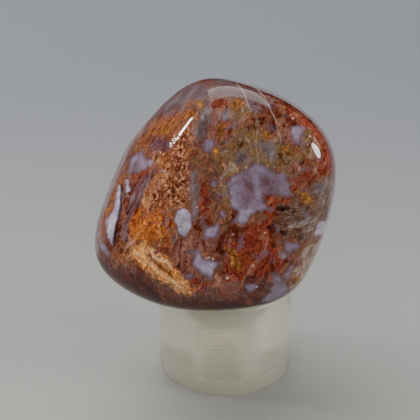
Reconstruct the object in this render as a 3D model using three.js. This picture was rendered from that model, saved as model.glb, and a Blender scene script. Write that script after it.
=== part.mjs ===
// A pietersite tumbled stone on its display stand. Millimetres, +Z up, the broad polished face towards -Y.
//
// The stone is one natural piece: a broken chunk of brecciated chalcedony whose broken faces are still
// there, worn flat-ish, with every edge and corner rounded off by the tumbling barrel.
// The stand is a short turned tube of natural translucent plastic. A cone cut into its top holds the
// round underside of the stone, and a plain bore runs on down through it.
// Nothing is glued or pinned: the stone rests on the rim of the cone by its own weight.

import * as THREE from 'three';
import { mergeVertices } from 'three/addons/utils/BufferGeometryUtils.js';

// The stand, turned from a bar a little over 20 mm
const STAND_DIAMETER = 20.5;
const STAND_HEIGHT = 15;
const EDGE_BREAK = 0.4;
const SEAT_DIAMETER = 15;
const SEAT_DEPTH = 6;
const BORE_DIAMETER = 6.6;
const STAND_SIDES = 72;
// Where the stand's axis is, seen from the middle of the stone
const STAND_RIGHT = 1.7;
const STAND_BACK = 2;

// The stone leans back on the stand by this angle
const LEAN_BACK = 27.5;
// A hair of air between the stone and the rim that it rests on
const REST_GAP = 0.05;

// The worn faces of the chunk, in the stone's own frame: X right, Z up the broad face, -Y out of it.
// angle goes round the outline of the broad face, 0 to the right and 90 up. lean is how far the face
// looks forward (+, up to 90 for the broad face itself) or back (-). distance is from the middle.
const WORN_FACES = [
  { name: 'broad front', angle: -100, lean: 83, distance: 11.5 },
  { name: 'left of the front', angle: 178, lean: 58, distance: 13.6 },
  { name: 'upper left', angle: 148, lean: 22, distance: 12.9 },
  { name: 'top', angle: 81, lean: 8, distance: 18.1 },
  { name: 'upper right', angle: 49, lean: 8, distance: 19.3 },
  { name: 'right', angle: 22, lean: 5, distance: 22.8 },
  { name: 'lower right', angle: -12, lean: 10, distance: 18.8 },
  { name: 'right foot', angle: -29, lean: 0, distance: 19.7 },
  { name: 'front foot', angle: -82, lean: 5, distance: 18.5 },
  { name: 'left foot', angle: -124, lean: 0, distance: 20 },
  { name: 'underside', angle: -92, lean: -27, distance: 16 },
  { name: 'lower back', angle: -85, lean: -65, distance: 22 },
  { name: 'back', angle: 84, lean: -68, distance: 12.2 },
  { name: 'upper back', angle: 108, lean: -40, distance: 15.4 },
  { name: 'right back', angle: 12, lean: -45, distance: 16.5 },
  { name: 'left back', angle: 186, lean: -38, distance: 16.5 },
];
// How crisply the faces meet: low is a pebble, high is a cut block
const CRISPNESS = 7;
// Shallow swells that tumbling leaves in the faces: waves per radian along X, Y and Z, and height
const SWELLS = [
  { waves: [3.1, 1.7, -2.3], phase: 0.4, height: 0.09 },
  { waves: [-1.9, 2.6, 3.7], phase: 2.1, height: 0.06 },
];
// Squares along each edge of the cube that the stone's surface is divided like
const STONE_SQUARES = 22;

const STONE_COLOUR = 0x7a3a22;
const STAND_COLOUR = 0xc9c6b0;

// The way a worn face looks, from its two angles.
function facing({ angle, lean }) {
  const round = THREE.MathUtils.degToRad(angle);
  const out = THREE.MathUtils.degToRad(lean);
  return new THREE.Vector3(
    Math.cos(round) * Math.cos(out),
    -Math.sin(out),
    Math.sin(round) * Math.cos(out),
  );
}

// The distance from the stone's middle to its surface, in one direction. Each face alone would give its
// own plane. Their high-power sum follows the nearest plane and rounds the edges where two are as near.
function stoneRadius(direction) {
  let sum = 0;
  for (const face of WORN_FACES) {
    const nearness = facing(face).dot(direction) / face.distance;
    if (nearness > 0) sum += nearness ** CRISPNESS;
  }
  let radius = sum ** (-1 / CRISPNESS);
  for (const { waves, phase, height } of SWELLS) {
    radius += height * Math.sin(new THREE.Vector3(...waves).dot(direction) + phase);
  }
  return radius;
}

// The stone's surface: a cube's grid of squares, evened out, blown up to a ball and then to the stone.
function stoneGeometry() {
  const cube = new THREE.BoxGeometry(2, 2, 2, STONE_SQUARES, STONE_SQUARES, STONE_SQUARES);
  const place = cube.attributes.position;
  const even = (x) => Math.tan((x * Math.PI) / 4);
  for (let i = 0; i < place.count; i++) {
    const direction = new THREE.Vector3(even(place.getX(i)), even(place.getY(i)), even(place.getZ(i)));
    direction.normalize();
    direction.multiplyScalar(stoneRadius(direction));
    place.setXYZ(i, direction.x, direction.y, direction.z);
  }
  cube.deleteAttribute('normal');
  cube.deleteAttribute('uv');
  const closed = mergeVertices(cube);
  closed.computeVertexNormals();
  return closed;
}

// The stand's section is turned round Z: up the outside, over the rim, down the cone and the bore.
function standGeometry() {
  const outer = STAND_DIAMETER / 2;
  const bore = BORE_DIAMETER / 2;
  const section = [
    [bore, 0],
    [outer - EDGE_BREAK, 0],
    [outer, EDGE_BREAK],
    [outer, STAND_HEIGHT - EDGE_BREAK],
    [outer - EDGE_BREAK, STAND_HEIGHT],
    [SEAT_DIAMETER / 2, STAND_HEIGHT],
    [bore, STAND_HEIGHT - SEAT_DEPTH],
    [bore, 0],
  ].map(([radius, height]) => new THREE.Vector2(radius, height));
  return new THREE.LatheGeometry(section, STAND_SIDES).rotateX(Math.PI / 2);
}

// The least height of a mesh's underside above the stand's flat rim.
function heightAboveRim(mesh) {
  mesh.updateMatrixWorld(true);
  const up = new THREE.Vector3(0, 0, 1);
  const steps = 144;
  const rings = [SEAT_DIAMETER / 2, STAND_DIAMETER / 2 - EDGE_BREAK];
  let least = Infinity;
  for (const radius of rings) {
    for (let i = 0; i < steps; i++) {
      const turn = (i / steps) * 2 * Math.PI;
      const from = new THREE.Vector3(
        STAND_RIGHT + radius * Math.cos(turn),
        STAND_BACK + radius * Math.sin(turn),
        -STAND_HEIGHT,
      );
      const hit = new THREE.Raycaster(from, up).intersectObject(mesh)[0];
      if (hit) least = Math.min(least, hit.point.z - STAND_HEIGHT);
    }
  }
  return least;
}

function makeStone() {
  const polished = new THREE.MeshStandardMaterial({ color: STONE_COLOUR, roughness: 0.08, metalness: 0 });
  const stone = new THREE.Mesh(stoneGeometry(), polished);
  stone.name = 'stone';
  stone.rotation.x = -THREE.MathUtils.degToRad(LEAN_BACK);
  stone.position.z = 3 * STAND_HEIGHT;
  stone.position.z -= heightAboveRim(stone) - REST_GAP;
  return stone;
}

function makeStand() {
  const milky = new THREE.MeshStandardMaterial({ color: STAND_COLOUR, roughness: 0.35, metalness: 0 });
  const stand = new THREE.Mesh(standGeometry(), milky);
  stand.name = 'stand';
  stand.position.set(STAND_RIGHT, STAND_BACK, 0);
  return stand;
}

const object = new THREE.Group();
object.add(makeStone(), makeStand());

// The origin is under the middle of the whole object, on the surface that the stand stands on.
object.updateMatrixWorld(true);
const middle = new THREE.Box3().setFromObject(object, true).getCenter(new THREE.Vector3());
object.position.set(-middle.x, -middle.y, 0);

export default object;
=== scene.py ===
# A pietersite tumbled stone on its turned stand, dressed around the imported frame. Metres, +Z up.

import math

import bpy
import numpy as np
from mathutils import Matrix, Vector


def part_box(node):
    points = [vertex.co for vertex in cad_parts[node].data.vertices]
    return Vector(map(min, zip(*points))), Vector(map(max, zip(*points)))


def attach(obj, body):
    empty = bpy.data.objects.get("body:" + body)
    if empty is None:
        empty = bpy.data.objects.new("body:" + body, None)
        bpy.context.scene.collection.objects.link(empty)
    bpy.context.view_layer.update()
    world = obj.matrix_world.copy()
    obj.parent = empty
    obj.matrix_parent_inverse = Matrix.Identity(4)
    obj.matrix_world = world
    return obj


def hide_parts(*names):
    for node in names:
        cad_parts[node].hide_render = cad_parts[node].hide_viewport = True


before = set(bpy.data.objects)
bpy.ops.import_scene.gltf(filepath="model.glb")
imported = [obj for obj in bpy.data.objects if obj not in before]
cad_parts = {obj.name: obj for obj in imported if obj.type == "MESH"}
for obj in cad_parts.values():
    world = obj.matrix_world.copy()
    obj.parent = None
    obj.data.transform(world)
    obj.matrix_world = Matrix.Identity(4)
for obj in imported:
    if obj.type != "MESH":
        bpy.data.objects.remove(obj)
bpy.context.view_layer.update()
MM = 0.001


# The view.
# The stone is seen from a hand's reach away with a long lens, looking down on it by as much as it leans
# back, so that its broad face is square to the view.

LOOK_DOWN = math.radians(27.5)
LENS = 145.7
VIEW_DISTANCE = 253.7 * MM
# The stone's middle, and how far beside and below it the view's own middle is
STONE_MIDDLE = Vector((-0.055, 1.357, 30.557)) * MM
VIEW_ASIDE = -0.67 * MM
VIEW_BELOW = -2.39 * MM

view_ahead = Vector((0, math.cos(LOOK_DOWN), -math.sin(LOOK_DOWN)))
view_up = Vector((0, math.sin(LOOK_DOWN), math.cos(LOOK_DOWN)))
view_right = Vector((1, 0, 0))
eye = STONE_MIDDLE + view_right * VIEW_ASIDE + view_up * VIEW_BELOW - view_ahead * VIEW_DISTANCE

camera_data = bpy.data.cameras.new("camera")
camera_data.lens = LENS
camera_data.sensor_width = 36
camera_data.clip_start = 0.01
camera = bpy.data.objects.new("camera", camera_data)
bpy.context.scene.collection.objects.link(camera)
camera.location = eye
camera.rotation_euler = (math.pi / 2 - LOOK_DOWN, 0, 0)
bpy.context.scene.camera = camera


def add_node(tree, kind, inputs=None, stops=None, **settings):
    """Adds a shader node. An input that is a socket is linked, and any other value is set."""
    new = tree.nodes.new("ShaderNode" + kind)
    for name, value in settings.items():
        setattr(new, name, value)
    for name, value in (inputs or {}).items():
        if isinstance(value, bpy.types.NodeSocket):
            tree.links.new(value, new.inputs[name])
        else:
            new.inputs[name].default_value = value
    if stops:
        ramp = new.color_ramp.elements
        while len(ramp) < len(stops):
            ramp.new(1)
        for element, (place, colour) in zip(ramp, stops):
            element.position = place
            element.color = colour
    return new


def tone(hex_colour):
    """An sRGB colour, as 0xRRGGBB, as the linear colour that a shader takes."""
    channels = [(hex_colour >> shift & 255) / 255 for shift in (16, 8, 0)]
    linear = [c / 12.92 if c <= 0.04045 else ((c + 0.055) / 1.055) ** 2.4 for c in channels]
    return (*linear, 1)


# The stand.
# A short tube turned from bar a little over 20 mm, of natural, milky plastic. A cone cut into its top seats the stone,
# a plain bore runs on down through it, and its edges are broken with a file.

SEAT_RADIUS = 7.5 * MM
SEAT_DEPTH = 6 * MM
BORE_RADIUS = 3.3 * MM
EDGE_BREAK = 0.4 * MM

stand_low, stand_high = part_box("stand")
stand_radius = (stand_high.x - stand_low.x) / 2
stand_height = stand_high.z - stand_low.z
stand_middle = (stand_low + stand_high) / 2


def pick_caps(mesh, heights):
    """Selects the flat round faces at these heights, and nothing else."""
    bpy.ops.mesh.select_all(action="DESELECT")
    bpy.ops.object.mode_set(mode="OBJECT")
    for face in mesh.polygons:
        level = min(abs(face.center.z - h) for h in heights) < 0.01 * MM
        face.select = level and len(face.vertices) > 4
    bpy.ops.object.mode_set(mode="EDIT")


bpy.ops.object.select_all(action="DESELECT")
bpy.ops.mesh.primitive_cylinder_add(
    vertices=128, radius=stand_radius, depth=stand_height, location=stand_middle
)
stand = bpy.context.active_object
stand.name = "milky_stand"
bpy.ops.object.transform_apply(location=True, rotation=True, scale=True)
edge_break = stand.modifiers.new("edge break", "BEVEL")
edge_break.width = EDGE_BREAK
edge_break.segments = 3
edge_break.limit_method = "ANGLE"
edge_break.angle_limit = math.radians(35)
bpy.ops.object.modifier_apply(modifier=edge_break.name)
bpy.ops.object.mode_set(mode="EDIT")
bpy.ops.mesh.select_mode(type="FACE")
cap_radius = stand_radius - EDGE_BREAK
pick_caps(stand.data, [stand_high.z])
bpy.ops.mesh.inset(thickness=cap_radius - SEAT_RADIUS)
bpy.ops.mesh.extrude_region_move(TRANSFORM_OT_translate={"value": (0, 0, -SEAT_DEPTH)})
shrink = BORE_RADIUS / SEAT_RADIUS
bpy.ops.transform.resize(value=(shrink, shrink, 1))
pick_caps(stand.data, [stand_low.z])
bpy.ops.mesh.inset(thickness=cap_radius - BORE_RADIUS)
pick_caps(stand.data, [stand_low.z, stand_high.z - SEAT_DEPTH])
bpy.ops.mesh.bridge_edge_loops()
bpy.ops.object.mode_set(mode="OBJECT")
bpy.ops.object.shade_smooth_by_angle(angle=math.radians(30))

milky = bpy.data.materials.new("turned_milky_plastic")
milky.use_nodes = True
tree = milky.node_tree
tree.nodes.clear()
# The tool left fine rings round the tube, in bands where it dragged
RING_WIDTH = 0.3 * MM
RING_DEPTH = 0.015 * MM
lathe_place = add_node(tree, "TexCoord").outputs["Object"]
rings = add_node(tree, "VectorMath", {
    0: lathe_place, 1: (0.06 / RING_WIDTH, 0.06 / RING_WIDTH, 1 / RING_WIDTH),
}, operation="MULTIPLY").outputs[0]
ring_noise = add_node(tree, "TexNoise", {"Vector": rings, "Scale": 1, "Detail": 3}).outputs["Fac"]
turned = add_node(tree, "Bump", {"Height": ring_noise, "Distance": RING_DEPTH, "Strength": 1}).outputs[0]
drag = add_node(tree, "TexNoise", {"Vector": lathe_place, "Scale": 0.2 / MM, "Detail": 2}).outputs["Fac"]
drag = add_node(tree, "MapRange", {"Value": drag, "From Min": 0.45, "From Max": 0.65}).outputs[0]
ring_shade = add_node(tree, "MapRange", {"Value": ring_noise, "From Min": 0.5, "From Max": 0.68}).outputs[0]
ring_share = add_node(tree, "Math", {0: drag, 1: ring_shade}, operation="MULTIPLY").outputs[0]
ring_tone = add_node(tree, "Mix", {
    0: ring_share, 6: tone(0xFFF9E4), 7: tone(0xE6E2CE),
}, data_type="RGBA").outputs[2]
# Painted glow: the foot gives off a faint light of its own, standing in for the light that the milky tube gathers and
# lets out there
FOOT_EDGE = 0.3 * MM
PAINTED_FOOT_GLOW = 0.2
height = add_node(tree, "SeparateXYZ", {0: lathe_place}).outputs[2]
painted_foot_glow = add_node(tree, "MapRange", {
    "Value": height, "From Min": 0, "From Max": FOOT_EDGE, "To Min": PAINTED_FOOT_GLOW, "To Max": 0,
}).outputs[0]
shader = add_node(tree, "BsdfPrincipled", {
    "Base Color": ring_tone,
    "Subsurface Weight": 1,
    "Subsurface Radius": (1, 1, 0.85),
    "Subsurface Scale": 8 * MM,
    "Transmission Weight": 0.76,
    "Roughness": 0.12,
    "IOR": 1.49,
    "Normal": turned,
    # The painted glow's colour and strength at the foot
    "Emission Color": tone(0xFFF6DC),
    "Emission Strength": painted_foot_glow,
})
add_node(tree, "OutputMaterial", {"Surface": shader.outputs["BSDF"]})
stand.data.materials.append(milky)
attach(stand, "root")
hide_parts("stand")


# The stone.
# One piece of brecciated chalcedony, broken from the vein, tumbled until its faces and edges are round,
# and polished. The lumps of colour run on into the stone, so only the polish is at its surface.

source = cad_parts["stone"]
stone = bpy.data.objects.new("pietersite_stone", source.data.copy())
bpy.context.scene.collection.objects.link(stone)
bpy.ops.object.select_all(action="DESELECT")
stone.select_set(True)
bpy.context.view_layer.objects.active = stone
bpy.ops.object.mode_set(mode="EDIT")
bpy.ops.mesh.select_all(action="SELECT")
bpy.ops.mesh.remove_doubles(threshold=0.01 * MM)
bpy.ops.mesh.tris_convert_to_quads()
bpy.ops.object.mode_set(mode="OBJECT")
stone.data.materials.clear()
rounding = stone.modifiers.new("rounding", "SUBSURF")
rounding.levels = 2
rounding.render_levels = 2
bpy.ops.object.modifier_apply(modifier=rounding.name)
bpy.ops.object.shade_smooth()

# Where each mineral lies in the broad face, in mm right of and above the stone's middle as the view
# shows it. Each list of corners is one patch. A later mineral lies over an earlier one.
# ragged is how far its edge wanders, in mm, and soft is how wide its edge blends.
# grain is how long and how wide its grains are, in mm, and which way they run, in degrees from level.
# The colours run from its darkest grains to its lightest, and spread is how gently they change.
# flecks is how strongly it is speckled, and skin is the colour of the thin rind round it.
ROCK = [
    {
        "name": "dusty_rose",
        "patches": [
            [(-6.4, -6.8), (-3, -7), (0.5, -7.6), (1, -9), (-3.5, -8.6), (-3.6, -11.2), (-4.6, -11.8),
             (-6, -11), (-6.8, -9)],
            [(9.6, 10.2), (11.4, 10), (11.8, 8.6), (11.4, 7.6), (10.2, 7.4), (9.8, 8.6)],
            [(10.6, 3), (12.6, 3.6), (13.4, 5.4), (11.8, 5.6), (11.6, 4), (10.8, 1.8)],
            [(-0.4, 13.8), (2, 13.8), (2, 12), (0.6, 10.4), (0.2, 8.4), (-1.6, 8.2), (-0.8, 11), (-0.6, 12.8)],
            [(-3.4, 3.4), (-2.4, 3.2), (-2.2, 0), (-2.6, -3.4), (-3.4, -4.6), (-3.6, -1), (-4.6, 0.2), (-4.2, 2)],
            [(-17.4, -9.8), (-13.6, -9.6), (-12, -11), (-13, -12.4), (-16, -12.6)],
        ],
        "ragged": 2.2, "soft": 0.7, "grain": (3.2, 1.3, 78), "spread": 0.2, "flecks": 0.5,
        "colours": [0x401E18, 0x6C3A30, 0x885648, 0x946658, 0x7A5048, 0xA68072],
    },
    {
        "name": "olive",
        "patches": [
            [(0.5, 5.8), (2, 8.2), (3, 10.5), (5.5, 9.8), (8.4, 9.4), (9, 7.5), (11.8, 6.8), (12.3, 4.8),
             (11.5, 3.2), (9.5, 3), (5.8, 4.2), (4, 3), (2, 2.6), (1, 3.8)],
            [(1, 0.8), (2.2, 1), (2.5, -0.5), (1.8, -1.2), (1, -0.6)],
            [(-3.2, 5.8), (-2.2, 5.9), (-1.8, 4.4), (-2.4, 3.6), (-3.2, 4.3)],
            [(2.4, 13.9), (4.6, 13.9), (5.2, 12.6), (4.6, 11.2), (3, 11.4)],
            [(10.6, -1.6), (14.2, -1.8), (13, -2.8), (11, -2.6)],
            [(13.2, 10), (14.4, 9.8), (14.6, 8), (13.8, 5.4), (12.8, 5.8), (13.2, 8)],
        ],
        "ragged": 2.6, "soft": 0.8, "grain": (2.2, 1.3, 85), "spread": 0.2, "flecks": 0.48,
        "colours": [0x4B2C1A, 0x724D2F, 0x82633D, 0x745848, 0x8B7054, 0x9A8776],
    },
    {
        "name": "red_jasper",
        "patches": [
            [(-2, 1.4), (-1, 1.6), (-0.9, -1), (-1, -3.4), (-1.7, -3.6), (-2.1, -2)],
            [(1.3, 11), (2.4, 11.2), (2.6, 9.4), (2, 8), (1.2, 8.2)],
            [(11, 13.2), (13, 12.6), (15.2, 11), (17.2, 8), (18.5, 5), (17.6, 3.2), (14, 2.3), (11.6, 0.5),
             (12.6, 3.2), (15, 3), (15.8, 4.6), (15.8, 8), (14.6, 9.6), (12, 11.2), (9.5, 12.4)],
            [(7.3, -0.1), (10.8, -0.3), (10.9, -1.4), (9.8, -2), (9.4, -3.4), (7.8, -3.8), (6.8, -3), (8, -2)],
            [(4.6, -4.6), (7.6, -3.6), (8.8, -5.4), (9.8, -8), (11.6, -9.2), (11.2, -10.6), (9, -11.6),
             (8.4, -12.8), (5.6, -12.6), (2.4, -13.2), (1, -12), (1.4, -9.6), (1, -7.6), (2.4, -6.4)],
            [(-4.2, -13), (-2.4, -12.9), (-0.6, -13.8), (-0.4, -15.2), (-2.6, -14.4)],
            [(-11.6, 2.9), (-10, 3.2), (-10.8, 2), (-12, 1)],
            [(-9, -7.6), (-6.6, -7.4), (-6, -8.6), (-7.6, -9)],
        ],
        "ragged": 1.6, "soft": 0.5, "grain": (3.6, 1.4, 70), "spread": 0.2, "flecks": 0.4,
        "colours": [0x40140D, 0x6A261C, 0x8E422B, 0x763025, 0x6A241C, 0x9A4D33, 0x86594A, 0xA66B53],
    },
    {
        "name": "ochre",
        "patches": [
            [(-10.2, 9), (-9.2, 10.6), (-6, 11.5), (-3.4, 12.5), (-2.8, 11.7), (-4.8, 11), (-6.6, 8.7),
             (-9, 8.5), (-11.9, 6.6), (-12.2, 7.1)],
            [(-8.6, 5), (-5.8, 7), (-4.4, 9.6), (-3, 10.6), (-2.6, 9.6), (-3.6, 7), (-4.2, 3), (-4.8, -1.6),
             (-6.2, -3), (-6.4, -6.6), (-9, -7.6), (-13.6, -8.8), (-14.4, -8), (-12.8, -5.4), (-12.4, -3.6),
             (-10, 0.6), (-9, 3.2)],
            [(-13.6, 3.6), (-14.6, 1.4), (-15.8, -2), (-16.8, -5), (-16.8, -6.4), (-15.4, -2.6),
             (-14.6, -0.6), (-14.2, 1.6)],
            [(-15.8, -9), (-13.4, -8.8), (-12.4, -9.4), (-14, -9.8)],
        ],
        "ragged": 2.2, "soft": 0.6, "grain": (2.4, 1, 64), "spread": 0.2, "flecks": 0.62,
        "colours": [0x562814, 0x824828, 0x9C6034, 0x824832, 0xA87048, 0xC08A66],
    },
    {
        "name": "orange",
        "patches": [
            [(-12.4, -3.2), (-8, -2.6), (-6.6, -3.4), (-6.4, -5.6), (-7, -6.8), (-12, -7.4), (-13, -6)],
            [(-10.2, 1.4), (-9.7, 1.2), (-10.4, -1), (-12, -4.6), (-12.6, -4.6), (-10.8, -0.8)],
        ],
        "ragged": 2, "soft": 0.8, "grain": (2.6, 1.2, 64), "spread": 0.18, "flecks": 0.7,
        "colours": [0x6C2412, 0x9C4622, 0xC87634, 0x923C20, 0xCC803C, 0xDEA668],
    },
    {
        "name": "dendrites",
        "patches": [
            [(-4.4, 9.2), (-3, 10.4), (-2.8, 9), (-4, 6.6), (-4, 3), (-4.6, -0.4), (-4.4, -2), (-5.4, -2.2),
             (-8.8, -2.2), (-9.6, -1), (-9.2, 0.6), (-7.6, 1), (-7.2, 3.4), (-6.4, 3.6), (-6.2, 6.4),
             (-8.8, 5.2), (-9.6, 4.4), (-9.4, 5.6), (-7, 6.6), (-6, 8.2)],
        ],
        "ragged": 2.4, "soft": 0.6, "grain": (1.4, 0.8, 80), "spread": 0.2, "flecks": 0.7, "detail": 2.5,
        "places": [0.30, 0.40, 0.44, 0.47, 0.50, 0.53, 0.57, 0.72],
        "colours": [0xBC886A, 0x9E5C3E, 0x7E432A, 0x582A1C, 0x5E2C1E, 0x8E4D30, 0xAC6A46, 0xC48E70],
    },
    {
        "name": "maroon",
        "patches": [
            [(-12.4, 1.6), (-11.6, 1.4), (-12.6, -1.4), (-13.6, -4), (-13.8, -7.2), (-14.4, -8.2),
             (-14.8, -7.2), (-14.5, -4.6), (-13.2, 0.2)],
            [(-2.5, -4.6), (-1.4, -4.3), (-1.2, -5.6), (-2.2, -6)],
            [(2.4, -2.2), (3.6, -2.4), (3.4, -4.6), (4.6, -5.2), (4.4, -7), (2.6, -7.2), (1.2, -6), (2.2, -4.8)],
            [(0.6, -6.2), (1.6, -6), (1.2, -9.2), (0.4, -8.8)],
            [(8, -4.8), (8.8, -5), (9.6, -6.4), (8.8, -6.6)],
            [(7.6, 10.6), (9, 10.8), (9.6, 9.8), (8.4, 9.2)],
            [(5.2, 11.6), (6.4, 11.4), (6.6, 10.4), (5.4, 10.2)],
            [(4.2, -12.6), (7.8, -12.2), (8.6, -13.4), (7, -14.8), (4.4, -14.4)],
            [(0.4, 17.2), (10, 15.2), (15.6, 10.8), (14, 11.4), (8.8, 14.4), (2.6, 16.2)],
            [(5, 14), (9, 13.6), (12.6, 10.6), (12.4, 9.4), (9.8, 11.4), (6.2, 12.6)],
        ],
        "ragged": 1.2, "soft": 0.3, "grain": (3.6, 1, 64), "spread": 0.18, "flecks": 0.3,
        "colours": [0x280906, 0x42130B, 0x5A2316, 0x501C16, 0x6A3524, 0x784636],
    },
    {
        "name": "plum",
        "patches": [
            [(-11.4, 1.8), (-8.8, 4.4), (-8.8, 3.2), (-11.2, -1.2), (-12.9, -4.6), (-13, -7), (-13.6, -7.2),
             (-13.7, -4.4), (-12.2, 0.2)],
            [(-9.8, 6.6), (-9, 7.9), (-7, 8.3), (-6.3, 7.4), (-6.8, 6.5), (-8.8, 6.3)],
        ],
        "ragged": 0.6, "soft": 0.25, "grain": (5, 0.8, 64), "spread": 0.18, "flecks": 0.35,
        "colours": [0x361C1E, 0x523034, 0x6A4448, 0x5E3C40, 0x745658, 0x826C72],
    },
    {
        "name": "tan",
        "patches": [
            [(-11.8, -7.4), (-9.6, -7.6), (-9, -8.8), (-7, -9.2), (-5.4, -11.8), (-4.6, -13), (-3.2, -13.9),
             (-2.8, -14.8), (-4.6, -15), (-8.4, -12.6), (-11.8, -10), (-12.6, -8.8)],
        ],
        "ragged": 0.9, "soft": 0.35, "grain": (3, 0.35, -38), "spread": 0.18, "flecks": 0.9,
        "colours": [0x984C20, 0xE0863E, 0xB25826, 0xFFAE64, 0xC87034, 0xFFCE90, 0x944A1C, 0xF49E5C],
    },
    {
        "name": "swirl",
        "patches": [
            [(9.6, -1.9), (11, -1.2), (14.6, -1.2), (15.6, -0.6), (16.6, 0.8), (17.8, 1.6), (18.2, -1),
             (17, -3.4), (14.8, -5.6), (12.6, -7.4), (10.4, -6.8), (8.8, -6.2), (8.2, -5), (9.4, -3.4)],
        ],
        "ragged": 1.4, "soft": 0.5, "grain": (7, 0.8, 0), "around": (9, 6), "curl": 0.1, "spread": 0.18, "flecks": 0.5,
        "colours": [0x2B1914, 0x5F4034, 0x765C49, 0x502B24, 0x7C6857, 0x8C7E74],
    },
    {
        "name": "beige",
        "patches": [
            [(13.2, -8), (16.8, -6.6), (16.5, -9), (15.5, -12), (13.5, -14.5), (11.4, -15.4), (11, -14),
             (12, -11.3), (13.2, -10.8), (13.2, -9.6)],
        ],
        "ragged": 0.5, "soft": 0.25, "grain": (2.5, 1.2, 60), "spread": 0.18, "flecks": 0.2,
        "colours": [0x725648, 0x8A6E62, 0x9C8476, 0x927462, 0xA89488],
    },
]
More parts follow.
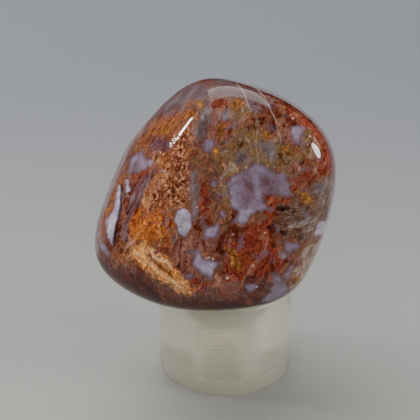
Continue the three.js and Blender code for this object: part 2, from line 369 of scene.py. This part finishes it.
# What lies over the veins: the dark band at the foot, dark jasper painted darker still as shade where the
# stone turns under, and what filled the gaps between the lumps later, the clearer chalcedony and the gold crystals in
# it
FILLINGS_AND_SHADED_FOOT = [
    # Painted shade in part: the dark band along the foot stands for dark jasper and for the shade under the stone
    {
        "name": "dark",
        "patches": [
            [(-18.5, -8.6), (-15.6, -9.3), (-15, -11), (-12.2, -11), (-9.4, -12.8), (-7, -15),
             (-5, -15.8), (-1, -15.4), (2, -15.6), (4, -15), (8.4, -14.4), (7.4, -16.4), (11, -16),
             (8, -19), (0, -20), (-10, -19), (-18, -14)],
        ],
        "ragged": 0.8, "soft": 1.3, "wander": 2, "grain": (3.6, 1.2, -30), "spread": 0.18, "flecks": 0.3,
        "colours": [0x1A0503, 0x4A1507, 0x361813, 0x5C1E0C, 0x42211E, 0x763820],
    },
    {
        "name": "haze",
        "patches": [
            [(-3, 16.8), (-0.6, 16.4), (-0.8, 13.6), (-1.6, 12.6), (-3.4, 14.2), (-4.6, 13), (-8, 11.6),
             (-9.4, 11.4), (-7.8, 13.8), (-5.4, 15.6)],
            [(-0.6, 18), (3.4, 17.8), (3, 16.2), (0, 16.3)],
            [(0, 16.4), (4.6, 16), (7.4, 14.6), (9, 12.8), (7.6, 12.9), (5.2, 14.2), (2, 14.6), (0, 14.6)],
        ],
        "ragged": 0.6, "soft": 0.9, "wander": 1, "grain": (4, 3, 30), "spread": 0.2, "flecks": 0.1, "detail": 1,
        "colours": [0x4E3A3B, 0x574648, 0x605052, 0x6A5C5E],
    },
    {
        "name": "blue_haze",
        "patches": [
            [(-2.9, 8), (-2.9, 9.6), (-2.1, 11.6), (-1.2, 12.8), (-0.2, 12.6), (-1.1, 9.6), (-1.7, 7.8)],
            [(6.7, 7.8), (8, 8), (8.7, 7), (8.9, 5.6), (8.4, 4.8), (7.3, 6.4)],
            [(14, 0.2), (15, 1.4), (17.4, 2.4), (17.4, 1), (15, -0.4)],
            [(3, 6.2), (4.6, 6), (4.8, 4.6), (3.2, 4.6)],
            [(-3.4, 3.2), (-2.6, 3.2), (-2.4, 0), (-2.7, -3.6), (-3.4, -4), (-3.3, -1)],
            [(9.8, -8.6), (11.2, -8.8), (11.2, -9.6), (10, -9.6)],
            [(0.6, 11.8), (1.6, 12.6), (2.6, 11.6), (1.4, 11)],
        ],
        "ragged": 0.8, "soft": 0.7, "grain": (2, 1, 80), "spread": 0.2, "flecks": 0.2,
        "colours": [0x4A3E3E, 0x605250, 0x72666A, 0x868086],
    },
    {
        "name": "rim",
        "patches": [
            [(-2.4, 18.5), (-3, 16.8), (-5.6, 15.4), (-7.6, 13.4), (-10.2, 9.8), (-12.6, 6.6), (-14.4, 2.2),
             (-15.6, -0.6), (-16.9, -4), (-17.6, -9), (-19.5, -9), (-19, -2), (-16.5, 5), (-9, 16), (-5, 19)],
        ],
        "ragged": 0.6, "soft": 0.7, "wander": 2, "grain": (4, 2, 60), "spread": 0.2, "flecks": 0.1, "detail": 1.5,
        "colours": [0x5C4842, 0x6C5350, 0x786260, 0x827472],
    },
    {
        "name": "lavender",
        "patches": [
            [(6, 4.4), (7.2, 4.4), (8.2, 3.6), (9.3, 3), (10.2, 2.9), (10.9, 2.3), (11.1, 0.9), (11.7, -0.2),
             (10.8, -0.2), (7.2, 0.1), (7.2, -0.9), (7.8, -2.1), (6.9, -2.5), (6.2, -2.3), (5.4, -3),
             (4.7, -4), (4, -4.5), (3.5, -3.9), (3.8, -2.4), (2.5, -1.9), (2.6, -0.5), (2.1, 1.4),
             (2.6, 2.4), (4.2, 3.2)],
            [(-4, -8.7), (-2.4, -8.4), (-1.9, -9.4), (-1.2, -10), (0.7, -10.2), (-0.2, -11.2), (-0.5, -12.9),
             (-1.8, -11.7), (-3.2, -10.6), (-3.3, -9.8), (-2.9, -9.3)],
            [(11.5, 9.9), (12.3, 10.1), (13.6, 9.9), (12.9, 8.5), (12.4, 7), (12, 8), (11.6, 9)],
            [(-12.6, 5.3), (-10.9, 6.2), (-10.2, 5.1), (-9.2, 5), (-9.5, 4.4), (-11.2, 3.3), (-12.8, 3.2)],
            [(8.7, -11.8), (9.6, -12), (10.6, -13.6), (11.2, -14.9), (8.8, -16), (7.2, -16.1), (8.4, -14.6),
             (8.9, -13.6)],
            [(10.6, -12), (11.2, -10.9), (11.8, -10.6), (11.6, -11.6), (10.8, -12.8)],
            [(10.4, -7.2), (12.2, -7.4), (12.6, -7.9), (12, -8.4), (11, -8.8), (10.5, -8)],
            [(-1.4, 8), (-0.4, 8), (0.1, 7.2), (-0.6, 6.4), (-1.5, 6.6)],
            [(-17, -7), (-16.4, -7.6), (-15.8, -8.6), (-15.8, -9.1), (-17, -8)],
            [(-1.2, -5.2), (0.5, -4.6), (0.6, -5.4), (0, -6.5), (-1.4, -6.4)],
            [(-4.5, -12), (-3.6, -12), (-3.2, -12.4), (-4.2, -12.7)],
            [(4.6, -13.6), (6.2, -13.5), (6, -14.2), (5.4, -14.6), (4.8, -14.2)],
            [(-0.4, 2.2), (0.2, 2), (0.2, 1.3), (-0.3, 1.2)],
            [(0.9, -2.6), (1.5, -2.6), (1.6, -3.3), (1, -3.4)],
        ],
        "ragged": 0.3, "soft": 0.45, "grain": (5, 3, 60), "spread": 0.26, "flecks": 0.22, "detail": 2,
        "skin": 0x44241E, "thin": 0.12,
        "colours": [0x5A4650, 0x766470, 0x867488, 0xA094A8],
    },
    {
        "name": "rosy_core",
        "patches": [
            [(4.2, 2.4), (6, 2.4), (6, 0.2), (5.8, -1.6), (4.6, -2), (4.2, -0.4)],
            [(6.6, 2.6), (9.4, 2.2), (9.2, 0.8), (6.6, 1)],
        ],
        "ragged": 0.7, "soft": 0.9, "grain": (2, 1.2, 85), "spread": 0.2, "flecks": 0.2,
        "colours": [0x54383C, 0x62454B, 0x6E545C, 0x7B6272],
    },
    {
        "name": "pale_lavender",
        "patches": [
            [(-5.6, -2.6), (-4.6, -2), (-3.8, -2.7), (-3.3, -4.2), (-3.4, -5), (-4.6, -6.4), (-5.3, -5.9),
             (-5.9, -3.8)],
            [(-14.3, 1.3), (-13.8, 0.4), (-13.8, -1), (-14.4, -4), (-15, -5), (-15.2, -7.6), (-15.7, -6.8),
             (-16.3, -4.3), (-15, -2.2)],
            [(-13.3, 2.2), (-12.9, 2.1), (-12.7, 0.6), (-13.1, 0.4)],
            [(15.9, -4), (16.8, -4.4), (16.4, -5.6), (15.9, -6.1), (14.8, -6.2), (15.4, -4.7)],
        ],
        "ragged": 0.3, "soft": 0.25, "grain": (2, 1.2, 64), "spread": 0.2, "flecks": 0.25, "curl": 0.5,
        "skin": 0x5A3A38, "thin": 0.2,
        "colours": [0x8C7E90, 0xA094A4, 0xAEA2B2, 0xC2BAC8],
    },
    {
        "name": "gold",
        "patches": [
            [(12.2, 0.6), (13, 0.4), (14.6, -0.2), (14.2, -1.1), (13.2, -0.9)],
            [(10.2, 7), (11, 7.1), (12, 6.6), (11.2, 5.5), (10.4, 5.7)],
            [(2.9, 14), (4.2, 13.8), (4.4, 12.9), (3.4, 12.7), (2.8, 13.2)],
            [(-2.6, 13.9), (-1.8, 13.8), (-1.7, 12.8), (-2.5, 12.9)],
            [(7, 9.5), (8, 9.3), (8.1, 8.5), (7.2, 8.3)],
            [(-8, 10), (-6.8, 10), (-6.6, 9.2), (-7.6, 9)],
            [(0.6, 10.4), (1.3, 10.4), (1.2, 9), (0.7, 9)],
            [(1.8, -8), (3.2, -8.2), (3.6, -9.6), (4, -11.2), (2.8, -11.3), (2, -9.4)],
            [(11.9, -11.8), (12.9, -12.2), (12.6, -13.4), (11.6, -14), (11.4, -13)],
            [(-3, -3.8), (-2.4, -3.8), (-2.3, -4.6), (-2.9, -4.6)],
        ],
        "ragged": 1.2, "soft": 0.5, "grain": (0.9, 0.6, 60), "spread": 0.16, "flecks": 0.45,
        "colours": [0x562D17, 0x784622, 0x8D5C2C, 0xA57642],
    },
]

# Thin lines in the face, in the same mm: cracks that have healed white, seams and the bands' edges.
# Each has its points, half its width and how strongly it covers what is under it.
STREAKS = [
    {
        "name": "long_crack", "half_width": 0.05, "share": 0.5, "colour": 0xB9A49C,
        "points": [(5.6, 16.3), (6.8, 15.3), (7.3, 14.7), (8.1, 13.2), (9.1, 11.2), (9.3, 10.2), (9.8, 8.6),
                   (10, 7.2)],
    },
    {
        "name": "short_crack", "half_width": 0.05, "share": 0.6, "colour": 0xC8AC9C,
        "points": [(3.1, 16.7), (3.8, 16), (4.5, 14.9), (4.9, 13.6), (5.2, 12.6)],
    },
    {
        "name": "faint_crack", "half_width": 0.08, "share": 0.35, "colour": 0xA09488,
        "points": [(6.4, 10.3), (6.2, 8), (6.4, 6), (6.5, 3.4)],
    },
    {
        "name": "dark_seam", "half_width": 0.2, "share": 0.85, "colour": 0x24100F,
        "points": [(-13.8, 1.6), (-14, -2), (-14.9, -6.2), (-15.1, -7.8)],
    },
    {
        "name": "light_band", "half_width": 0.12, "share": 0.55, "colour": 0xF6CE9C,
        "points": [(-9.5, -7.9), (-9.2, -9), (-8.3, -9.9), (-7, -10.3), (-6.5, -11), (-6.1, -11.5)],
    },
    {
        "name": "bright_band", "half_width": 0.25, "share": 0.4, "colour": 0xF4BC7C,
        "points": [(-10.8, -8), (-10.6, -9.4), (-9.4, -10.8), (-7.7, -12.1), (-6.2, -13), (-4.5, -14.2)],
    },
    {
        "name": "brown_seam", "half_width": 0.16, "share": 0.75, "colour": 0x4A2C14,
        "points": [(-9.9, -8.4), (-9.4, -9.8), (-8, -10.9), (-6.9, -11.7), (-5.8, -12.9)],
    },
    {
        "name": "gold_seam", "half_width": 0.14, "share": 0.85, "colour": 0x6E4418,
        "points": [(16.2, -6.5), (15, -7), (13.5, -7.7), (12.8, -8.5), (12, -9.7)],
    },
]

# Bands of coarse grains that tear out a little in the tumbler, so that they glitter and don't shine
PITTED = [
    [(-5.1, 8.6), (-5.8, 9.3), (-7.6, 8.2), (-8.9, 6.8), (-8.1, 6), (-6.5, 7.2)],
]

# Single bright or coloured grains, and painted glints round the right glare: where, radius and colour
GRAINS_AND_GLINTS = [
    ((0.2, 6.45), 0.75, 0x8A5216),
    ((0.15, 6.4), 0.4, 0xE8A030),
    ((-1.2, -9.7), 0.18, 0xE8DCD4),
    ((-0.8, -9.5), 0.16, 0xE0D0C8),
    ((-0.2, -9.7), 0.18, 0xE8DCD4),
    ((1.9, -12.6), 0.26, 0xD8B8A4),
    ((5.7, -10.7), 0.24, 0xCC8C7C),
    ((7.6, -5.8), 0.18, 0xD8A890),
    ((2.8, -6), 0.26, 0xC08C80),
    ((-2.6, -2), 0.12, 0xE8DCD8),
    ((-9.9, -1.4), 0.14, 0xE8C8B0),
    ((11.7, 11.3), 0.24, 0xDCB4A8),
    ((6.3, -13.8), 0.15, 0xD8D4DC),
    ((-5.1, -4.9), 0.2, 0x5C4A48),
    # Painted glints: these last six are pale specks scattered round the right lamp's glare, for its sparkle
    ((14.3, 8.6), 0.2, 0xE8D0C4),
    ((16, 8.1), 0.11, 0xE0C4B8),
    ((13.9, 7.3), 0.1, 0xD8BCB0),
    ((14.2, 5.5), 0.13, 0xDCC0B4),
    ((16.4, 4.5), 0.12, 0xE8D0C4),
    ((15.2, 3.4), 0.1, 0xD8B8A8),
]


def depth_inside(points, corners):
    """How far inside an outline each point is, in the outline's units. Outside is less than nothing."""
    corners = np.array(corners, float)
    nearest = np.full(len(points), np.inf)
    inside = np.zeros(len(points), bool)
    for start, end in zip(corners, np.roll(corners, -1, axis=0)):
        edge = end - start
        from_start = points - start
        along = np.clip(from_start @ edge / (edge @ edge), 0, 1)
        nearest = np.minimum(nearest, np.linalg.norm(from_start - along[:, None] * edge, axis=1))
        level = (start[1] > points[:, 1]) != (end[1] > points[:, 1])
        if edge[1]:
            inside ^= level & (from_start[:, 0] < from_start[:, 1] * edge[0] / edge[1])
    return np.where(inside, nearest, -nearest)


def beside_line(points, line):
    """How far to the left of an open line each point is, and how far in from the line's nearer end."""
    line = np.array(line, float)
    steps = np.diff(line, axis=0)
    lengths = np.linalg.norm(steps, axis=1)
    starts = np.concatenate([[0], np.cumsum(lengths)])
    nearest = np.full(len(points), np.inf)
    side = np.zeros(len(points))
    run = np.zeros(len(points))
    for number, (start, step, length) in enumerate(zip(line, steps, lengths)):
        from_start = points - start
        along = from_start @ step / length
        across = (step[0] * from_start[:, 1] - step[1] * from_start[:, 0]) / length
        away = np.hypot(across, along - np.clip(along, 0, length))
        closer = away < nearest
        nearest = np.where(closer, away, nearest)
        side = np.where(closer, across, side)
        run = np.where(closer, starts[number] + along, run)
    return side, np.minimum(run, starts[-1] - run)


place = np.empty(len(stone.data.vertices) * 3, np.float32)
stone.data.vertices.foreach_get("co", place)
place = place.reshape(-1, 3).astype(float)
from_eye = place - np.array(eye)
ahead = from_eye @ np.array(view_ahead)
scale_there = VIEW_DISTANCE / ahead / MM
middle_there = STONE_MIDDLE - eye
seen = np.column_stack([
    from_eye @ np.array(view_right) * scale_there - middle_there.dot(view_right) / MM,
    from_eye @ np.array(view_up) * scale_there - middle_there.dot(view_up) / MM,
])
behind = (ahead - VIEW_DISTANCE) / MM

# The back shows other cuts through the same lumps, so it reads the layout turned round and shifted
BACK_TURN = math.radians(155)
BACK_STARTS = 3
BACK_IS_FULL = 9
turned_round = seen @ np.array([
    [math.cos(BACK_TURN), math.sin(BACK_TURN)],
    [-math.sin(BACK_TURN), math.cos(BACK_TURN)],
]) + (1.5, -1)
back_share = np.clip((behind - BACK_STARTS) / (BACK_IS_FULL - BACK_STARTS), 0, 1)


def add_reading(mesh, name, values):
    """Keeps one number for each point of the mesh, for a material to read."""
    layer = mesh.attributes.new(name, "FLOAT", "POINT")
    layer.data.foreach_set("value", values.astype(np.float32))


for mineral in ROCK + FILLINGS_AND_SHADED_FOOT:
    front = np.max([depth_inside(seen, patch) for patch in mineral["patches"]], axis=0)
    back = np.max([depth_inside(turned_round, patch) for patch in mineral["patches"]], axis=0)
    add_reading(stone.data, mineral["name"], front + (back - front) * back_share)
pitted_depth = np.max([depth_inside(seen, patch) for patch in PITTED], axis=0)
add_reading(stone.data, "pitted", np.minimum(pitted_depth, -behind))
for streak in STREAKS:
    side, reach = beside_line(seen, streak["points"])
    add_reading(stone.data, streak["name"], side)
    add_reading(stone.data, streak["name"] + "_reach", np.minimum(reach, -behind))


def on_the_face(across, up):
    """The point of the stone's near surface that the view shows at a place in the face, in metres."""
    away = np.hypot(seen[:, 0] - across, seen[:, 1] - up) + np.where(behind > 0, 100, 0)
    near = np.argsort(away)[:3]
    weight = 1 / (away[near] + 0.01)
    return tuple((place[near] * weight[:, None]).sum(axis=0) / weight.sum())


pietersite = bpy.data.materials.new("polished_pietersite")
pietersite.use_nodes = True
tree = pietersite.node_tree
tree.nodes.clear()
spot = add_node(tree, "TexCoord").outputs["Object"]
# The stone's own mm: right, into the stone and up its broad face, from its middle
own = add_node(tree, "Mapping", {
    "Vector": spot, "Location": STONE_MIDDLE, "Rotation": (-LOOK_DOWN, 0, 0), "Scale": (MM, MM, MM),
}, vector_type="TEXTURE").outputs[0]
# The vein was squeezed while it was soft, so no grain runs quite straight
BEND = 2.2
drift = add_node(tree, "TexNoise", {"Vector": own, "Scale": 0.4, "Detail": 3}).outputs["Color"]
bent = add_node(tree, "VectorMath", {0: drift, 1: (BEND, BEND, BEND), 2: own}, operation="MULTIPLY_ADD")
bent = bent.outputs[0]
clouds = add_node(tree, "TexNoise", {"Vector": own, "Scale": 0.3, "Detail": 2}).outputs["Fac"]
cloud_step = add_node(tree, "Math", {0: clouds, 1: 0.3, 2: -0.15}, operation="MULTIPLY_ADD").outputs[0]
FLECK_SIZE = 0.3
flecks = add_node(tree, "TexNoise", {
    "Vector": own, "Scale": 1 / FLECK_SIZE, "Detail": 2, "Roughness": 0.8,
}).outputs["Fac"]
# Most grains are as dark as their neighbours, and a few are much darker or lighter
fleck_light = add_node(tree, "FloatCurve", {"Value": flecks})
for index, spot_of_curve in enumerate([(0.28, 0.1), (0.42, 0.42), (0.58, 0.5), (0.72, 1)]):
    if index in (0, 3):
        fleck_light.mapping.curves[0].points[index // 3].location = spot_of_curve
    else:
        fleck_light.mapping.curves[0].points.new(*spot_of_curve)
fleck_light.mapping.update()
fleck_light = add_node(tree, "Math", {0: fleck_light.outputs[0], 1: 2.1}, operation="MULTIPLY").outputs[0]
MOTTLE_SIZE = 2
mottle = add_node(tree, "TexNoise", {
    "Vector": own, "Scale": 1 / MOTTLE_SIZE, "Detail": 4, "Roughness": 0.6, "Distortion": 1.5,
}).outputs["Fac"]
mottle_light = add_node(tree, "MapRange", {
    "Value": mottle, "From Min": 0.36, "From Max": 0.66, "To Min": 0.6, "To Max": 1.5,
}).outputs[0]
light_grain = add_node(tree, "Math", {0: fleck_light, 1: mottle_light}, operation="MULTIPLY").outputs[0]


def add_figure(number, mineral):
    """The colours of one mineral's grains, all over the stone."""
    long, wide, turn = mineral["grain"]
    where = bent
    if "around" in mineral:
        across, up = mineral["around"]
        parts = add_node(tree, "SeparateXYZ", {0: own})
        right_of = add_node(tree, "Math", {0: parts.outputs[0], 1: -across}, operation="ADD").outputs[0]
        above = add_node(tree, "Math", {0: parts.outputs[2], 1: -up}, operation="ADD").outputs[0]
        flat = add_node(tree, "CombineXYZ", {0: right_of, 1: above}).outputs[0]
        radius = add_node(tree, "VectorMath", {0: flat}, operation="LENGTH").outputs["Value"]
        angle = add_node(tree, "Math", {0: above, 1: right_of}, operation="ARCTAN2").outputs[0]
        arc = add_node(tree, "Math", {0: angle, 1: 10}, operation="MULTIPLY").outputs[0]
        rings = add_node(tree, "CombineXYZ", {0: arc, 1: parts.outputs[1], 2: radius}).outputs[0]
        where = add_node(tree, "VectorMath", {0: drift, 1: (2, 2, 1.2), 2: rings}, operation="MULTIPLY_ADD")
        where = where.outputs[0]
    local = add_node(tree, "Mapping", {
        "Vector": where, "Location": (11.3 * number, 0, 0), "Rotation": (0, -math.radians(turn), 0),
        "Scale": (long, wide, wide),
    }, vector_type="TEXTURE").outputs[0]
    grains = add_node(tree, "TexNoise", {
        "Vector": local, "Scale": 1, "Detail": mineral.get("detail", 4), "Roughness": 0.52,
        "Distortion": mineral.get("curl", 0.5),
    }).outputs["Fac"]
    clouded = add_node(tree, "Math", {0: grains, 1: cloud_step}, operation="ADD").outputs[0]
    shades = mineral["colours"]
    spread = mineral["spread"]
    places = mineral.get("places") or np.linspace(0.5 - spread, 0.5 + spread, len(shades))
    look = add_node(tree, "ValToRGB", {0: clouded}, stops=list(zip(places, map(tone, shades)))).outputs[0]
    return add_node(tree, "Mix", {
        0: mineral["flecks"], 6: look, 7: light_grain,
    }, data_type="RGBA", blend_type="MULTIPLY").outputs[2]


RUST = {
    "grain": (3, 1.3, 68), "spread": 0.2, "flecks": 0.52,
    "colours": [0x3A160E, 0x642B1C, 0x80442E, 0x6A4642, 0x765234, 0x8A4E3A, 0xA07864],
}


def lay_over(colour, number, mineral, island):
    """One mineral's patches laid over the colour so far. Their edges break up into islands."""
    depth = add_node(tree, "Attribute", attribute_name=mineral["name"]).outputs["Fac"]
    shifted = add_node(tree, "Mapping", {"Vector": own, "Location": (7.3 * number, 0, 0)}).outputs[0]
    wander = add_node(tree, "TexNoise", {
        "Vector": shifted, "Scale": 1 / island, "Detail": mineral.get("wander", 6), "Roughness": 0.68,
    }).outputs["Fac"]
    raggedness = 4 * mineral["ragged"]
    edge = add_node(tree, "Math", {0: wander, 1: raggedness, 2: -raggedness / 2}, operation="MULTIPLY_ADD")
    edge = add_node(tree, "Math", {0: depth, 1: edge.outputs[0]}, operation="ADD").outputs[0]
    if "skin" in mineral:
        rind = add_node(tree, "MapRange", {
            "Value": edge, "From Min": -0.5, "From Max": 0, "To Max": 0.6,
        }, interpolation_type="SMOOTHSTEP").outputs[0]
        colour = add_node(tree, "Mix", {0: rind, 6: colour, 7: tone(mineral["skin"])}, data_type="RGBA")
        colour = colour.outputs[2]
    share = add_node(tree, "MapRange", {
        "Value": edge, "From Min": -mineral["soft"], "From Max": mineral["soft"],
    }, interpolation_type="SMOOTHSTEP").outputs[0]
    if "thin" in mineral:
        veil = add_node(tree, "TexNoise", {"Vector": shifted, "Scale": 0.8, "Detail": 5}).outputs["Fac"]
        veil = add_node(tree, "MapRange", {
            "Value": veil, "From Min": 0.38, "From Max": 0.52, "To Min": 1 - mineral["thin"],
        }).outputs[0]
        share = add_node(tree, "Math", {0: share, 1: veil}, operation="MULTIPLY").outputs[0]
    look = add_figure(number, mineral)
    return add_node(tree, "Mix", {0: share, 6: colour, 7: look}, data_type="RGBA").outputs[2]


# Hairline veins that wander through the rock: how long and wide their loops are, which way they run,
# half their width in the noise, how strongly they cover and their colour
VEINS = [
    ((4.5, 1.5, 62), 0.007, 0.5, 0x240D08),
    ((3, 1.8, 75), 0.006, 0.4, 0x3A160C),
    ((4, 1.2, 55), 0.004, 0.3, 0xB4886C),
]

colour = add_figure(0, RUST)
for number, mineral in enumerate(ROCK, 1):
    colour = lay_over(colour, number, mineral, 1.5)
for number, ((long, wide, turn), thickness, strength, hue) in enumerate(VEINS):
    local = add_node(tree, "Mapping", {
        "Vector": bent, "Location": (5.7 * number, 3, 0), "Rotation": (0, -math.radians(turn), 0),
        "Scale": (long, wide, wide),
    }, vector_type="TEXTURE").outputs[0]
    loops = add_node(tree, "TexNoise", {
        "Vector": local, "Scale": 1, "Detail": 4, "Roughness": 0.55, "Distortion": 0.8,
    }).outputs["Fac"]
    off = add_node(tree, "Math", {0: loops, 1: -0.5}, operation="ADD").outputs[0]
    away = add_node(tree, "Math", {0: off}, operation="ABSOLUTE").outputs[0]
    cover = add_node(tree, "MapRange", {
        "Value": away, "From Min": thickness, "From Max": 2.5 * thickness, "To Min": strength, "To Max": 0,
    }, interpolation_type="SMOOTHSTEP").outputs[0]
    colour = add_node(tree, "Mix", {0: cover, 6: colour, 7: tone(hue)}, data_type="RGBA").outputs[2]

# Small clear spots of chalcedony all through the rust
SPOT_COLOUR = 0x746C7C
spots = add_node(tree, "TexNoise", {
    "Vector": bent, "Scale": 0.55, "Detail": 4, "Roughness": 0.55, "Distortion": 0.4,
}).outputs["Fac"]
share = add_node(tree, "MapRange", {
    "Value": spots, "From Min": 0.57, "From Max": 0.7, "To Max": 0.4,
}, interpolation_type="SMOOTHSTEP").outputs[0]
colour = add_node(tree, "Mix", {0: share, 6: colour, 7: tone(SPOT_COLOUR)}, data_type="RGBA").outputs[2]

# Chains of pale round grains with dark rims, which wander through the brown band
CHAIN_GRAIN = 0.52
cells = add_node(tree, "TexVoronoi", {"Vector": bent, "Scale": 1 / CHAIN_GRAIN}).outputs["Distance"]
grain_look = add_node(tree, "ValToRGB", {0: cells}, stops=[
    (0.1, tone(0xD4A88C)), (0.4, tone(0xA86C4C)), (0.6, tone(0x5A2C1A)), (0.8, tone(0x3A160C)),
]).outputs[0]
paths = add_node(tree, "TexNoise", {
    "Vector": own, "Scale": 0.55, "Detail": 3, "Roughness": 0.6, "Distortion": 1.6,
}).outputs["Fac"]
off = add_node(tree, "Math", {0: paths, 1: -0.5}, operation="ADD").outputs[0]
away = add_node(tree, "Math", {0: off}, operation="ABSOLUTE").outputs[0]
on_path = add_node(tree, "MapRange", {
    "Value": away, "From Min": 0.025, "From Max": 0.065, "To Min": 1, "To Max": 0,
}).outputs[0]
in_band = add_node(tree, "Attribute", attribute_name="dendrites").outputs["Fac"]
in_band = add_node(tree, "Math", {0: mottle, 1: 5, 2: in_band}, operation="MULTIPLY_ADD").outputs[0]
in_band = add_node(tree, "MapRange", {"Value": in_band, "From Min": 1.7, "From Max": 3}).outputs[0]
share = add_node(tree, "Math", {0: on_path, 1: in_band}, operation="MULTIPLY").outputs[0]
colour = add_node(tree, "Mix", {0: share, 6: colour, 7: grain_look}, data_type="RGBA").outputs[2]
for number, mineral in enumerate(FILLINGS_AND_SHADED_FOOT, len(ROCK) + 1):
    colour = lay_over(colour, number, mineral, 0.9)

WOBBLE = 0.5
line_drift = add_node(tree, "TexNoise", {"Vector": own, "Scale": 1.6, "Detail": 4}).outputs["Fac"]
line_step = add_node(tree, "Math", {0: line_drift, 1: WOBBLE, 2: -WOBBLE / 2}, operation="MULTIPLY_ADD")
for streak in STREAKS:
    side = add_node(tree, "Attribute", attribute_name=streak["name"]).outputs["Fac"]
    moved = add_node(tree, "Math", {0: side, 1: line_step.outputs[0]}, operation="ADD").outputs[0]
    away = add_node(tree, "Math", {0: moved}, operation="ABSOLUTE").outputs[0]
    cover = add_node(tree, "MapRange", {
        "Value": away, "From Min": 0.5 * streak["half_width"], "From Max": 1.5 * streak["half_width"],
        "To Min": streak["share"], "To Max": 0,
    }, interpolation_type="SMOOTHSTEP").outputs[0]
    reach = add_node(tree, "Attribute", attribute_name=streak["name"] + "_reach").outputs["Fac"]
    ends = add_node(tree, "MapRange", {"Value": reach, "From Min": 0, "From Max": 0.6}).outputs[0]
    share = add_node(tree, "Math", {0: cover, 1: ends}, operation="MULTIPLY").outputs[0]
    colour = add_node(tree, "Mix", {0: share, 6: colour, 7: tone(streak["colour"])}, data_type="RGBA")
    colour = colour.outputs[2]
# Grains, and the painted glints round the right glare
for (across, up), radius, hue in GRAINS_AND_GLINTS:
    away = add_node(tree, "VectorMath", {0: spot, 1: on_the_face(across, up)}, operation="DISTANCE")
    away = add_node(tree, "Math", {0: flecks, 1: 2 * radius * MM, 2: away.outputs["Value"]}, operation="MULTIPLY_ADD")
    cover = add_node(tree, "MapRange", {
        "Value": away.outputs[0], "From Min": 1.2 * radius * MM, "From Max": 2.1 * radius * MM,
        "To Min": 0.8, "To Max": 0,
    }, interpolation_type="SMOOTHSTEP").outputs[0]
    colour = add_node(tree, "Mix", {0: cover, 6: colour, 7: tone(hue)}, data_type="RGBA").outputs[2]

PIT_DEPTH = 0.05 * MM
PIT_GRAIN = 0.45
pit_reading = add_node(tree, "Attribute", attribute_name="pitted").outputs["Fac"]
pitted = add_node(tree, "MapRange", {"Value": pit_reading, "From Min": -0.2, "From Max": 0.5}).outputs[0]
pit_cells = add_node(tree, "TexVoronoi", {"Vector": own, "Scale": 1 / PIT_GRAIN}).outputs["Distance"]
round_grains = add_node(tree, "Math", {0: pit_cells, 1: 2}, operation="POWER").outputs[0]
# Their mean height is taken off, so that the band's border makes no step in the polish
centred = add_node(tree, "Math", {0: round_grains, 1: -0.28}, operation="ADD").outputs[0]
pits = add_node(tree, "Math", {0: centred, 1: pitted}, operation="MULTIPLY").outputs[0]
relief = add_node(tree, "Bump", {"Height": pits, "Distance": -PIT_DEPTH, "Strength": 1}).outputs[0]
shader = add_node(tree, "BsdfPrincipled", {
    "Base Color": colour,
    "Roughness": 0.03,
    "IOR": 1.54,
    "Normal": relief,
})
add_node(tree, "OutputMaterial", {"Surface": shader.outputs["BSDF"]})
stone.data.materials.append(pietersite)
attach(stone, "root")
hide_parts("stone")


# The table and the light.
# A mid grey card sweep, painted darker towards its back as shade, a wide softbox straight overhead, and a small lamp
# low on each side.

bpy.ops.object.select_all(action="DESELECT")
bpy.ops.mesh.primitive_plane_add(size=1, location=(0, -0.1, 0))
table = bpy.context.active_object
table.name = "table"
table.scale = (1, 0.66, 1)
bpy.ops.object.transform_apply(location=True, rotation=True, scale=True)
card = bpy.data.materials.new("grey_card")
card.use_nodes = True
tree = card.node_tree
tree.nodes.clear()
# Painted shade: the card is a little darker and cooler towards its back than its front, standing in for the light
# falling off there
card_place = add_node(tree, "TexCoord").outputs["Object"]
card_back = add_node(tree, "SeparateXYZ", {0: card_place}).outputs[1]
painted_falloff_share = add_node(tree, "MapRange", {
    "Value": card_back, "From Min": -0.03, "From Max": 0.13,
}, interpolation_type="SMOOTHSTEP").outputs[0]
card_tone_and_painted_falloff = add_node(tree, "Mix", {
    0: painted_falloff_share, 6: tone(0x8B8A85), 7: tone(0x6B6E75),
}, data_type="RGBA").outputs[2]
shader = add_node(tree, "BsdfPrincipled", {"Base Color": card_tone_and_painted_falloff, "Roughness": 0.5})
add_node(tree, "OutputMaterial", {"Surface": shader.outputs["BSDF"]})
table.data.materials.append(card)


def add_softbox(name, place, aim, size, radiance, shape="RECTANGLE", tilt=0):
    """A lamp of an even brightness at a place, turned to face a point and then tilted in its own plane."""
    lamp = bpy.data.lights.new(name, "AREA")
    lamp.shape = shape
    lamp.size, lamp.size_y = size
    lamp.energy = radiance * math.pi * size[0] * size[1]
    holder = bpy.data.objects.new(name, lamp)
    bpy.context.scene.collection.objects.link(holder)
    holder.location = place
    holder.rotation_euler = (Vector(aim) - Vector(place)).to_track_quat("-Z", "Y").to_euler()
    holder.rotation_euler.rotate_axis("Z", math.radians(tilt))
    return holder


add_softbox("top softbox", (-0.08, 0.38, 0.44), (-0.08, 0.31, 0), (0.6, 0.76), 1.9)
add_softbox("left lamp", (-0.523, 0.108, 0.304), STONE_MIDDLE, (0.07, 0.075), 48, "ELLIPSE", 27)
add_softbox("right lamp", (0.53, -0.155, 0.27), STONE_MIDDLE, (0.25, 0.15), 16, "ELLIPSE", -15)
for fill in [
    add_softbox("top fill", (-0.28, 0.16, 0.5), (-0.08, 0.06, 0), (0.6, 0.6), 2.9),
    add_softbox("front fill", (-0.1, -0.5, 0.45), STONE_MIDDLE, (0.5, 0.4), 2),
]:
    fill.visible_glossy = False
world = bpy.data.worlds.new("studio")
bpy.context.scene.world = world
world.use_nodes = True
world.node_tree.nodes["Background"].inputs["Color"].default_value = tone(0xBABBBD)
world.node_tree.nodes["Background"].inputs["Strength"].default_value = 0.9
world.cycles_visibility.glossy = False
